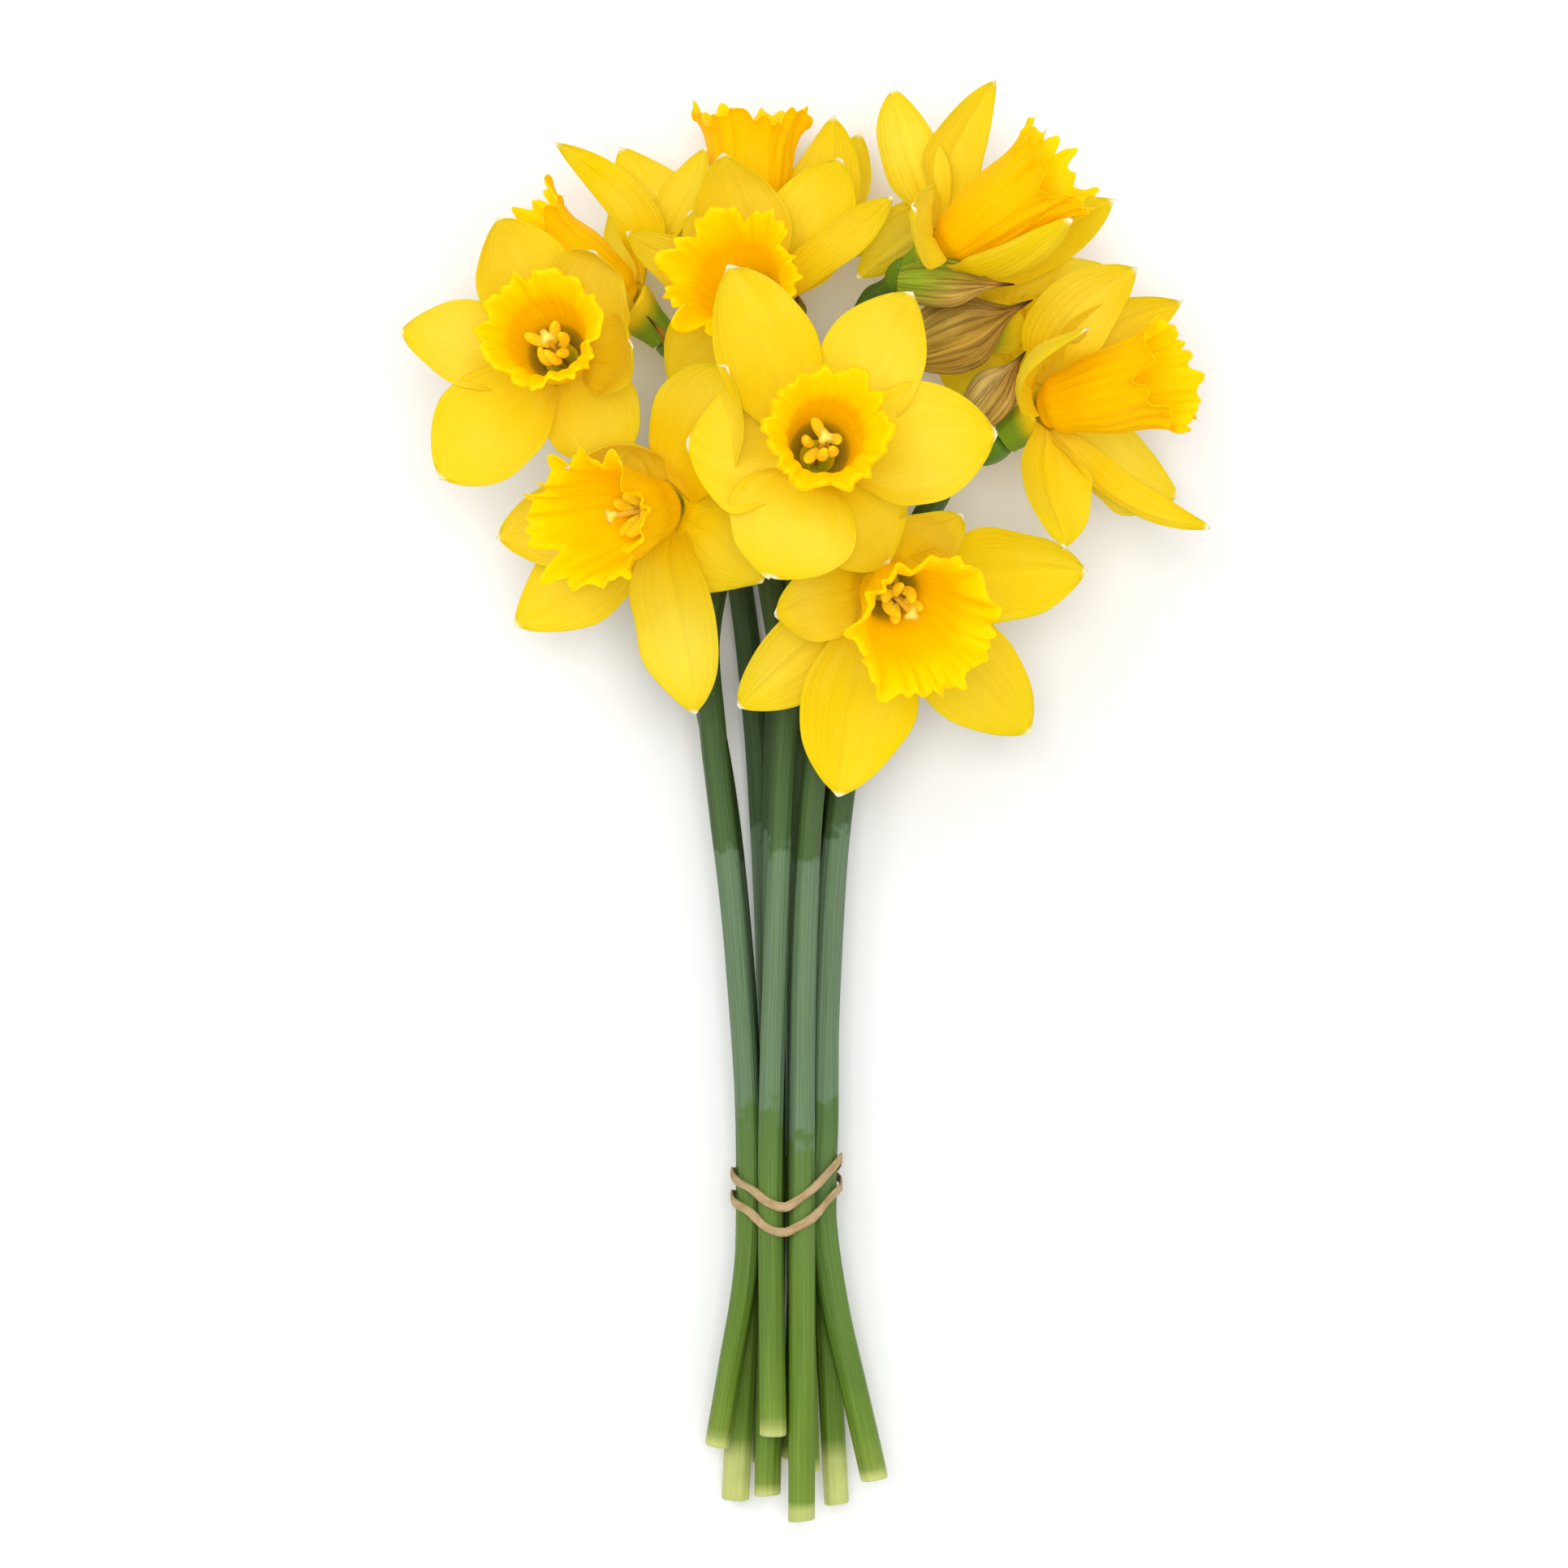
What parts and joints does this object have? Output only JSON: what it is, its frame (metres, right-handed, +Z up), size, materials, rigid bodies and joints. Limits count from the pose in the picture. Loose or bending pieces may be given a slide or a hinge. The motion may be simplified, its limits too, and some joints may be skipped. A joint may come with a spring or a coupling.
{
  "type": "bunch of daffodils",
  "caption": "Tied bunch of cut trumpet daffodils lying on its side: ridged stems, papery spathes, spread tepals and frilled trumpets, held by raffia.",
  "frame": {"origin": "bottom centre of the bunch's box, on the surface it lies on", "axes": "+Z up from the surface, +Y from the cut ends to the flower heads, +X to the right seen from above with the heads away from the viewer"},
  "size_m": [0.2162, 0.3944, 0.1221],
  "materials": {
    "stem": "matt, finely ridged lengthwise, with a grey bloom",
    "spathe": "dry and papery, with dark fibres",
    "tepal": "soft and satiny, with fine lengthwise veins",
    "trumpet": "soft and satiny, pleated and frilled at the rim",
    "stamen": "powdery with pollen",
    "raffia": "dry and fibrous"
  },
  "bodies": {
    "root": {"stem_centre": "stem", "spathe_centre": "spathe", "tepals_centre": "tepal", "trumpet_centre": "trumpet", "stamens_centre": "stamen", "stem_left": "stem", "spathe_left": "spathe", "tepals_left": "tepal", "trumpet_left": "trumpet", "stamens_left": "stamen", "stem_low_left": "stem", "spathe_low_left": "spathe", "tepals_low_left": "tepal", "trumpet_low_left": "trumpet", "stamens_low_left": "stamen", "stem_low_right": "stem", "spathe_low_right": "spathe", "tepals_low_right": "tepal", "trumpet_low_right": "trumpet", "stamens_low_right": "stamen", "stem_right": "stem", "spathe_right": "spathe", "tepals_right": "tepal", "trumpet_right": "trumpet", "stamens_right": "stamen", "stem_top_right": "stem", "spathe_top_right": "spathe", "tepals_top_right": "tepal", "trumpet_top_right": "trumpet", "stamens_top_right": "stamen", "stem_upper": "stem", "spathe_upper": "spathe", "tepals_upper": "tepal", "trumpet_upper": "trumpet", "stamens_upper": "stamen", "stem_top": "stem", "spathe_top": "spathe", "tepals_top": "tepal", "trumpet_top": "trumpet", "stamens_top": "stamen", "stem_upper_left": "stem", "spathe_upper_left": "spathe", "tepals_upper_left": "tepal", "trumpet_upper_left": "trumpet", "stamens_upper_left": "stamen", "stem_back_right": "stem", "spathe_back_right": "spathe", "tepals_back_right": "tepal", "trumpet_back_right": "trumpet", "stamens_back_right": "stamen", "raffia_tie": "raffia"}
  },
  "joints": []
}
